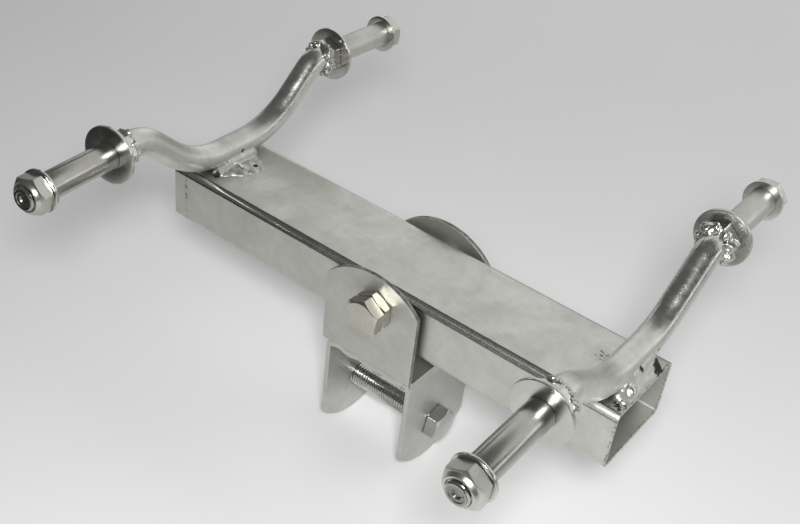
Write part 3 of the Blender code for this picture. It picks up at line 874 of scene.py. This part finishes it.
def build_bracket_welds(material):
    for place, side in (("front", -1.0), ("rear", 1.0)):
        low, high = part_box("bracket_weld_" + place)
        drops = []
        count = 46
        for k in range(count):
            share = k / (count - 1)
            x = low.x + 3.0 * MM + (high.x - low.x - 6.0 * MM) * share
            wave = 0.7 * MM * math.sin(6.5 * share * math.pi + side) + 0.4 * MM * math.sin(21.0 * share)
            y = side * (FORK_HIGH.y - 3.3 * MM)
            drops.append(((x, y, FORK_LOW.z + 3.0 * MM + 0.5 * wave), (3.2 * MM, 3.4 * MM, 4.6 * MM)))
            drops.append(((x, y, FORK_LOW.z + 0.4 * MM + wave), (3.0 * MM, 2.9 * MM, 3.0 * MM)))
        item = weld_mass("bracket_bead_" + place, drops, WELD_VOXEL, 0.15 * MM, 2.0 + side)
        finish(item, material, ["bracket_weld_" + place])


# ---------------------------------------------------------------- beam


def rounded_rectangle(width, height, corner, steps=8):
    half_u = 0.5 * width
    half_v = 0.5 * height
    square = [(half_u, half_v), (-half_u, half_v), (-half_u, -half_v), (half_u, -half_v)]
    return round_corners(square, corner, steps)


def build_beam(material):
    """Hollow section with rolled corners, a hole for the bush and sawn ends."""
    centre = 0.5 * (BEAM_LOW + BEAM_HIGH)
    size = BEAM_HIGH - BEAM_LOW
    outer = rounded_rectangle(size.y, size.z, BEAM_CORNER)
    inner = rounded_rectangle(size.y - 2.0 * BEAM_WALL, size.z - 2.0 * BEAM_WALL, BEAM_CORNER - BEAM_WALL)
    bm = bmesh.new()
    rings = []
    for points, x in ((outer, BEAM_LOW.x), (outer, BEAM_HIGH.x), (inner, BEAM_HIGH.x), (inner, BEAM_LOW.x)):
        rings.append([(x, centre.y + u, centre.z + v) for u, v in points])
    skin(bm, rings, True)
    item = raw_object("beam_section", bm)
    hole = Matrix.Translation(PIVOT) @ Matrix.Rotation(math.radians(90.0), 4, "X")
    drill(item, BUSH_HOLE, hole, 60.0 * MM)
    finish(soften(item, 0.3 * MM, 2, 40.0), material, ["beam_tube"])


def build_bush(material):
    low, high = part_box("pivot_bush")
    radius = 0.5 * (high.x - low.x)
    profile = [(BUSH_BORE, low.y), (radius, low.y), (radius, high.y), (BUSH_BORE, high.y)]
    item = raw_object("bush_tube", turned(round_corners(profile, 0.5 * MM, 3)))
    matrix = Matrix.Translation((PIVOT.x, 0.0, PIVOT.z)) @ Matrix.Rotation(math.radians(90.0), 4, "X")
    finish(item, material, ["pivot_bush"], matrix, 40.0)


def build_arm(arm, material):
    item = raw_object(arm + "_bar", sweep(arm_path(arm), BAR_RADIUS))
    finish(item, material, [arm + "_arm"], sharp=50.0)


def build_arm_weld(arm, place, drops, material, seed):
    """Weld metal beside a bar.

    drops are listed as in ARM_WELDS. What sinks below the beam's top is cut off inside its wall.
    """
    side = 1.0 if place == "right" else -1.0
    placed = []
    for across, along, half_x, half_y, half_z, sunk in drops:
        centre = (arm_x(arm) + side * across * MM, along * MM, BEAM_HIGH.z - sunk * half_z * MM)
        placed.append((centre, (half_x * MM, half_y * MM, half_z * MM)))
    floor = BEAM_HIGH.z - WELD_DEPTH
    item = weld_mass(f"{arm}_bar_bead_{place}", placed, WELD_VOXEL, 0.26 * MM, seed, 12, floor)
    finish(item, material, [f"{arm}_arm_weld_{place}"])


# ---------------------------------------------------------------- axles


def build_head_weld(name, material, seed):
    """Weld run round the joint between the bar's end and the bolt's head."""
    drops = []
    count = 34
    scale, shift = HEAD_WELDS[name]
    for k in range(count):
        angle = 2.0 * math.pi * k / count + seed
        size = (2.0 + 0.6 * math.sin(2.7 * k + seed) + 0.4 * math.sin(7.1 * k)) * MM * scale
        reach = 12.1 * MM + 0.8 * MM * math.sin(1.9 * k + 2.0 * seed)
        height = -AXLE_HEAD + (shift - 1.0 - 1.3 * math.sin(3.7 * k + seed)) * MM
        centre = (reach * math.cos(angle), reach * math.sin(angle), height)
        stretch = [1.15 + 0.45 * math.sin(turn * k + seed) for turn in (1.3, 2.9, 4.1)]
        drops.append((centre, tuple(size * share for share in stretch)))
    item = weld_mass(name + "_head_bead", drops, WELD_VOXEL, 0.85 * MM, 7.0 + seed, 3)
    finish(item, material, [name + "_head_weld"], axle_matrix(name))


def build_axle(name, looks, seed):
    matrix = axle_matrix(name)
    turn = math.radians(HEX_TURNS[name])
    bm = bmesh.new()
    thread(bm, AXLE_THREAD, -1.0 * MM, AXLE_END, chamfer_low=False, dimple=True)
    hex_head(bm, AXLE_FLATS, -0.05 * MM, -AXLE_HEAD, turn)
    finish(raw_object(name + "_screw", bm), looks["screw"], [name + "_bolt"], matrix, 32.0)
    build_head_weld(name, looks["weld"], seed)

    profile = [
        (AXLE_BORE, 0.0),
        (COLLAR_RADIUS, 0.0),
        (COLLAR_RADIUS, COLLAR_THICK),
        (AXLE_BORE, COLLAR_THICK),
    ]
    item = raw_object(name + "_flange", turned(round_corners(profile, 0.6 * MM)))
    finish(item, looks["collar"], [name + "_collar"], matrix, 40.0)

    profile = [
        (SLEEVE_BORE, SLEEVE_LOW),
        (SLEEVE_OUTER, SLEEVE_LOW),
        (SLEEVE_OUTER, SLEEVE_HIGH),
        (SLEEVE_BORE, SLEEVE_HIGH),
    ]
    item = raw_object(name + "_tube", turned(round_corners(profile, 0.35 * MM)))
    look = looks["front_sleeve" if name.endswith("front") else "rear_sleeve"]
    finish(item, look, [name + "_sleeve"], matrix, 40.0)

    profile = [
        (AXLE_BORE, SLEEVE_HIGH + 0.1 * MM),
        (WASHER_RADIUS, SLEEVE_HIGH + 0.1 * MM),
        (WASHER_RADIUS, WASHER_HIGH),
        (AXLE_BORE, WASHER_HIGH),
    ]
    item = raw_object(name + "_plain_washer", turned(round_corners(profile, 0.5 * MM)))
    finish(item, looks["washer"], [name + "_washer"], matrix, 40.0)

    bm = lock_nut(AXLE_FLATS, NUT_LOW, AXLE_BORE, turn + math.radians(11.0))
    finish(raw_object(name + "_lock_nut", bm), looks["nut"], [name + "_nut"], matrix, 32.0)

    low = NUT_LOW + NUT_HEX + 0.2 * MM
    high = NUT_LOW + NUT_HEX + NUT_DOME - 1.1 * MM
    profile = [(NYLON_INNER, low), (NYLON_OUTER, low), (NYLON_OUTER, high), (NYLON_INNER, high)]
    item = raw_object(name + "_nylon_insert", turned(round_corners(profile, 0.4 * MM)))
    finish(item, looks["nylon"], [name + "_nylon_ring"], matrix, 40.0)


# ---------------------------------------------------------------- stage


def build_floor():
    bm = bmesh.new()
    bmesh.ops.create_grid(bm, x_segments=1, y_segments=1, size=4.0)
    item = raw_object("floor", bm)
    item.location.z = cad_box[0][2] - 0.2 * MM
    g = Graph("floor")
    where = g.add("TexCoord").outputs["Object"]
    tone = g.remap(g.noise(where, 3.0, 2.0), 0.3, 0.7)
    g.feed(g.shader.inputs["Base Color"], g.mix(tone, (0.94, 0.94, 0.94, 1.0), (0.96, 0.96, 0.96, 1.0)))
    g.shader.inputs["Roughness"].default_value = 0.9
    item.data.materials.append(g.material)


def build_flag():
    """A black board low at the front left, seen only in reflections, that darkens what faces it."""
    bm = bmesh.new()
    bmesh.ops.create_grid(bm, x_segments=1, y_segments=1, size=0.65)
    item = raw_object("flag", bm)
    item.location = (-0.99, -0.99, cad_box[0][2] + 5.0 * MM)
    item.visible_camera = False
    item.visible_diffuse = False
    item.visible_shadow = False
    g = Graph("flag")
    cloth = g.remap(g.noise(g.add("TexCoord").outputs["Object"], 200.0), 0.3, 0.7)
    g.feed(g.shader.inputs["Base Color"], g.mix(cloth, grey(0.02), grey(0.05)))
    g.shader.inputs["Roughness"].default_value = 0.95
    item.data.materials.append(g.material)


def soft_box(name, aim, azimuth, elevation, distance, width, height, radiance):
    """A flat lamp looking at aim; azimuth is counted from the back (+Y) towards +X.

    radiance is in watts per square metre and steradian.
    """
    azimuth = math.radians(azimuth)
    elevation = math.radians(elevation)
    toward = Vector((
        math.sin(azimuth) * math.cos(elevation),
        math.cos(azimuth) * math.cos(elevation),
        math.sin(elevation),
    ))
    data = bpy.data.lights.new(name, "AREA")
    data.shape = "RECTANGLE"
    data.size = width
    data.size_y = height
    data.energy = radiance * math.pi * width * height
    item = bpy.data.objects.new(name, data)
    item.location = Vector(aim) + toward * distance
    item.rotation_euler = toward.to_track_quat("Z", "Y").to_euler()
    item.visible_camera = False
    bpy.context.scene.collection.objects.link(item)


def build_lights():
    """A lamp beside the lens, a broad dim panel behind, and two low bright strips."""
    aim = (0.0, 0.0, 0.08)
    soft_box("lens_lamp", aim, 146.0, 40.0, 1.05, 0.20, 0.20, 76.0)
    soft_box("back_panel", aim, 5.0, 38.0, 2.0, 4.2, 1.5, 0.88)
    soft_box("strip_right", aim, 55.0, 11.0, 2.0, 2.4, 0.40, 1.6)
    soft_box("strip_left", aim, -45.0, 11.0, 2.0, 1.6, 0.40, 1.1)
    world = bpy.data.worlds.new("studio")
    world.use_nodes = True
    background = world.node_tree.nodes["Background"]
    background.inputs["Color"].default_value = (1.0, 1.0, 1.0, 1.0)
    background.inputs["Strength"].default_value = 0.12
    bpy.context.scene.world = world
    bpy.context.scene.view_settings.view_transform = "Standard"


def build_camera():
    """A camera at the photographer's place, looking at the beam's middle."""
    azimuth = math.radians(33.73)
    elevation = math.radians(36.70)
    roll = math.radians(7.28)
    distance = 0.9020
    slide_right = 0.00152
    slide_up = -0.01475
    target = 0.5 * (BEAM_LOW + BEAM_HIGH)
    back = Vector((
        math.sin(azimuth) * math.cos(elevation),
        -math.cos(azimuth) * math.cos(elevation),
        math.sin(elevation),
    ))
    level = (-back).cross(Vector((0.0, 0.0, 1.0))).normalized()
    lifted_up = level.cross(-back)
    right = math.cos(roll) * level + math.sin(roll) * lifted_up
    up = -math.sin(roll) * level + math.cos(roll) * lifted_up
    data = bpy.data.cameras.new("camera")
    data.sensor_width = 36.0
    data.lens = 52.03
    item = bpy.data.objects.new("camera", data)
    bpy.context.scene.collection.objects.link(item)
    turn = Matrix((right, up, back)).transposed().to_4x4()
    spot = target + back * distance - right * slide_right - up * slide_up
    item.matrix_world = Matrix.Translation(spot) @ turn
    bpy.context.scene.camera = item


# ---------------------------------------------------------------- whole


def build():
    top = BEAM_HIGH.z
    left_x = arm_x("left")
    right_x = arm_x("right")
    burnt = [
        ((right_x + 15.0 * MM, 20.0 * MM, top + 4.0 * MM), 11.0 * MM, 0.85),
        ((right_x + 10.5 * MM, 1.0 * MM, top + 11.0 * MM), 5.0 * MM, 0.75),
        ((right_x + 9.0 * MM, 30.0 * MM, top + 10.0 * MM), 7.0 * MM, 0.45),
        ((right_x + 14.0 * MM, -30.0 * MM, top), 13.0 * MM, 0.42),
        ((right_x - 20.0 * MM, 7.0 * MM, top), 13.0 * MM, 0.36),
        ((left_x + 24.5 * MM, 6.0 * MM, top + 2.0 * MM), 3.0 * MM, 0.90),
        ((left_x + 12.0 * MM, -27.0 * MM, top + 1.0 * MM), 6.0 * MM, 0.62),
        ((left_x + 9.0 * MM, 4.0 * MM, top + 10.0 * MM), 7.0 * MM, 0.45),
    ]
    # Glossier spots on the weld blobs, painted pale: a painted highlight.
    glossed = [
        ((right_x + 15.0 * MM, -16.0 * MM, top + 8.0 * MM), 6.0 * MM, 0.75),
        ((left_x + 18.0 * MM, -6.0 * MM, top + 5.0 * MM), 9.0 * MM, 0.60),
    ]
    rolled = (90.0, 90.0, 400.0)
    drawn = (500.0, 500.0, 12.0)
    even = (300.0, 300.0, 300.0)
    fork = zinc(
        "fork_zinc", grey(0.60, 0.005), grey(0.50, 0.01), (0.50, 0.62), rolled, 0.00003,
        cut=("Y", FORK_HIGH.y - 0.5 * PLATE, 0.2)
    )
    clamp = zinc("clamp_zinc", grey(0.60, -0.01), grey(0.50, -0.005), (0.36, 0.48), rolled, 0.00003)
    tube = zinc(
        "tube_zinc", grey(0.60, 0.005), grey(0.48, 0.015), (0.30, 0.44), (12.0, 500.0, 500.0), 0.00003,
        soot=burnt,
        # The beam's front top corner: a band painted dark as a painted reflection, and pale at the right end
        # as a painted highlight.
        edge=(BEAM_HIGH.x - 27.0 * MM, BEAM_LOW.y + 1.4 * MM, top - 1.4 * MM),
        cut=("X", BEAM_HIGH.x, 1.0),
        # The tube's inner walls painted paler: a painted reflection.
        inside=(38.6 * MM, BEAM_LOW.z + 1.4 * MM, top - 1.4 * MM)
    )
    bar = zinc(
        "bar_zinc", grey(0.68, 0.005), grey(0.52, 0.01), (0.34, 0.50), even, 0.00005, 0.9, burnt,
        legs=(0.20, 0.00007)
    )
    weld = zinc(
        "weld_zinc", grey(0.66, 0.005), grey(0.50, 0.01), (0.38, 0.54), (500.0, 500.0, 500.0), 0.00008,
        0.6, burnt, glossed
    )
    crust = zinc(
        "crust_zinc", grey(0.72), grey(0.40, 0.01), (0.18, 0.36), (900.0, 900.0, 900.0), 0.00012, 0.5
    )
    bead = zinc("bead_zinc", grey(0.60, 0.005), grey(0.50, 0.01), (0.32, 0.44), even, 0.00003)
    blue = zinc("blue_zinc", grey(0.64, -0.02), grey(0.48, -0.01), (0.14, 0.24), even, 0.00002)
    brown = zinc("pivot_zinc", grey(0.55, 0.03), grey(0.42, 0.05), (0.16, 0.28), even, 0.00002)
    looks = {
        "weld": crust,
        "nut": zinc("nut_zinc", grey(0.56, 0.01), grey(0.42, 0.02), (0.26, 0.40), even, 0.00002),
        "screw": zinc(
            "screw_zinc", grey(0.58, 0.01), grey(0.42, 0.02), (0.18, 0.30), even, 0.00002,
            # The thread's end is painted darker: painted shade in the lock nut's hole.
            dull_painted_shade=[((0.0, 0.0, AXLE_END), 8.5 * MM, 0.22)]
        ),
        "collar": zinc(
            "collar_zinc", grey(0.54), grey(0.44, 0.01), (0.22, 0.32), (200.0, 200.0, 200.0), 0.00002
        ),
        "washer": zinc("washer_zinc", grey(0.60), grey(0.46, 0.01), (0.18, 0.28), even, 0.00002),
        "front_sleeve": zinc(
            "front_sleeve_zinc", grey(0.43, 0.01), grey(0.34, 0.02), (0.22, 0.30), drawn, 0.00002
        ),
        "rear_sleeve": zinc("rear_sleeve_zinc", grey(0.58), grey(0.49, 0.01), (0.42, 0.55), drawn, 0.00002),
        "nylon": nylon(),
    }
    build_fork(fork)
    build_clamp(clamp)
    build_clamp_bolt(blue)
    build_pivot(brown)
    build_bracket_welds(bead)
    build_beam(tube)
    build_bush(bead)
    for index, arm in enumerate(("left", "right")):
        build_arm(arm, bar)
        for place in ("left", "right"):
            build_arm_weld(arm, place, ARM_WELDS[arm, place], weld, 11.0 + 3.0 * index + len(place))
    for index, name in enumerate(AXLES):
        build_axle(name, looks, 0.8 * index)
    build_floor()
    build_flag()
    build_lights()
    build_camera()


build()
